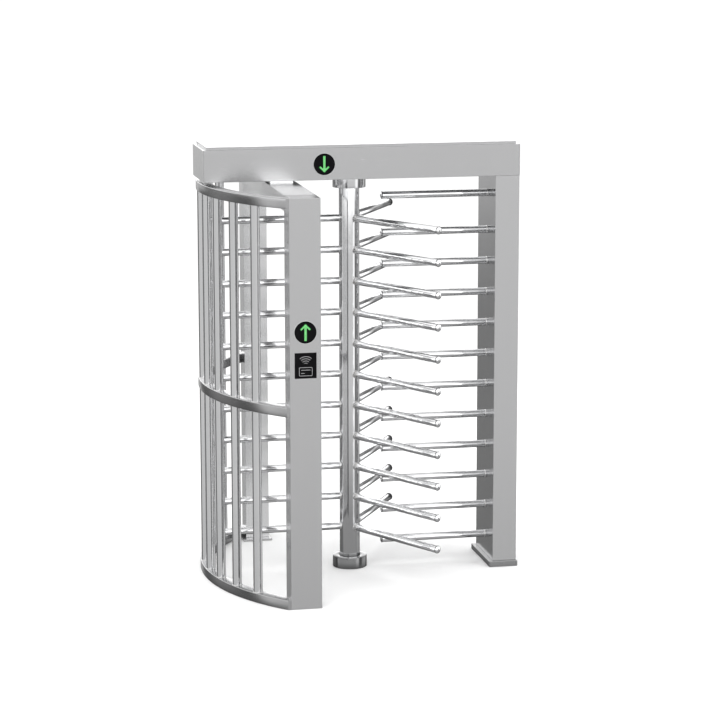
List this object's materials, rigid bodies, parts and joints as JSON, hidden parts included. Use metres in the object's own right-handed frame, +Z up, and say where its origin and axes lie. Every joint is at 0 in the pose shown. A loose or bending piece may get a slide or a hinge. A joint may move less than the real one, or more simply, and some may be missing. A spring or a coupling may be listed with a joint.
{
  "type": "full-height turnstile",
  "caption": "Full-height single-lane turnstile: overhead beam, three-wing rotor, fixed comb, curved bar cage, direction lights and a card reader.",
  "frame": {"origin": "rotor axis at the floor, on the underside of the floor bearing housing", "axes": "+Z up along the rotor axis, +X along the overhead beam towards the wall post and its comb, +Y away from the side with the card reader"},
  "size_m": [1.686, 1.608, 2.3],
  "materials": {
    "satin_steel": "satin",
    "polished_steel": "polished",
    "machined_steel": "machined",
    "zinc_plate": "satin",
    "bearing_steel": "polished",
    "gear_steel": "machined",
    "black_plastic": "matte",
    "black_gloss": "gloss",
    "green_light": "gloss",
    "white_rim": "satin",
    "coil_plastic": "matte",
    "board_green": "satin",
    "spacer_rubber": "matte"
  },
  "bodies": {
    "frame": {"beam_housing": "satin_steel", "beam_end_caps": "satin_steel", "beam_hinge_leaves": "polished_steel", "hinge_pins": "machined_steel", "wall_post": "satin_steel", "wall_post_head_plate": "machined_steel", "wall_post_base_plate": "polished_steel", "front_post": "satin_steel", "rear_post": "satin_steel", "side_post_caps": "satin_steel", "front_foot_plate": "machined_steel", "rear_foot_plate": "polished_steel", "cross_arm": "satin_steel", "beam_mount_blocks": "spacer_rubber", "beam_bolts": "zinc_plate", "cage_top_band": "polished_steel", "cage_middle_band": "polished_steel", "cage_bottom_band": "polished_steel", "cage_bars": "polished_steel", "comb_bars": "polished_steel", "comb_caps": "polished_steel", "access_covers": "satin_steel", "cover_screws": "zinc_plate", "floor_bearing_housing": "polished_steel", "thrust_bearing": "bearing_steel", "top_collar": "polished_steel", "mechanism_plate": "zinc_plate", "mechanism_bolts": "zinc_plate", "bearing_housing": "machined_steel", "top_bearing": "bearing_steel", "position_sensors": "black_plastic", "damper_body": "black_plastic", "pawl_pins": "machined_steel", "solenoids": "coil_plastic", "light_bezels": "white_rim", "light_lenses": "black_gloss", "light_arrows": "green_light", "light_housings": "black_plastic", "card_reader": "black_gloss", "control_board": "board_green", "power_supply": "zinc_plate", "counter_module": "black_plastic"},
    "rotor": {"rotor_column": "polished_steel", "column_end_plugs": "machined_steel", "wing_a_arms": "polished_steel", "wing_b_arms": "polished_steel", "wing_c_arms": "polished_steel", "arm_caps": "polished_steel", "rotor_shaft": "machined_steel", "lock_wheel": "gear_steel", "rotor_gear": "gear_steel", "sensor_vane": "black_plastic", "shaft_collars": "machined_steel"},
    "damper_rotor": {"damper_pinion": "gear_steel"},
    "entry_pawl": {"entry_pawl": "machined_steel"},
    "exit_pawl": {"exit_pawl": "machined_steel"},
    "entry_plunger": {"entry_plunger": "machined_steel"},
    "exit_plunger": {"exit_plunger": "machined_steel"},
    "lid": {"beam_lid": "satin_steel", "lid_hinge_leaves": "polished_steel"}
  },
  "joints": [
    {"name": "rotor_spin", "type": "hinge", "parent": "frame", "child": "rotor", "pos_m": [0, 0, 0], "axis": [0, 0, 1], "continuous": true},
    {"name": "damper_spin", "type": "hinge", "parent": "frame", "child": "damper_rotor", "pos_m": [0, 0.12, 0], "axis": [0, 0, 1], "continuous": true},
    {"name": "entry_pawl_swing", "type": "hinge", "parent": "frame", "child": "entry_pawl", "pos_m": [-0.1, -0.06, 0], "axis": [0, 0, -1], "range_deg": [0, 9.5], "stiffness_Nm_per_rad": 0.5, "springref_deg": -5.73},
    {"name": "exit_pawl_swing", "type": "hinge", "parent": "frame", "child": "exit_pawl", "pos_m": [0.1, -0.06, 0], "axis": [0, 0, 1], "range_deg": [0, 9.5], "stiffness_Nm_per_rad": 0.5, "springref_deg": -5.73},
    {"name": "entry_plunger_slide", "type": "slide", "parent": "frame", "child": "entry_plunger", "axis": [-1, 0, 0], "range_m": [0, 0.0068]},
    {"name": "exit_plunger_slide", "type": "slide", "parent": "frame", "child": "exit_plunger", "axis": [1, 0, 0], "range_m": [0, 0.0068]},
    {"name": "lid_open", "type": "hinge", "parent": "frame", "child": "lid", "pos_m": [0, 0.178, 2.291], "axis": [-1, 0, 0], "range_deg": [0, 75]}
  ],
  "couplings": [
    {"joint": "damper_spin", "follows": "rotor_spin", "ratio": -3},
    {"joint": "entry_plunger_slide", "follows": "entry_pawl_swing", "m_per_rad": 0.0398},
    {"joint": "exit_plunger_slide", "follows": "exit_pawl_swing", "m_per_rad": 0.0398}
  ]
}
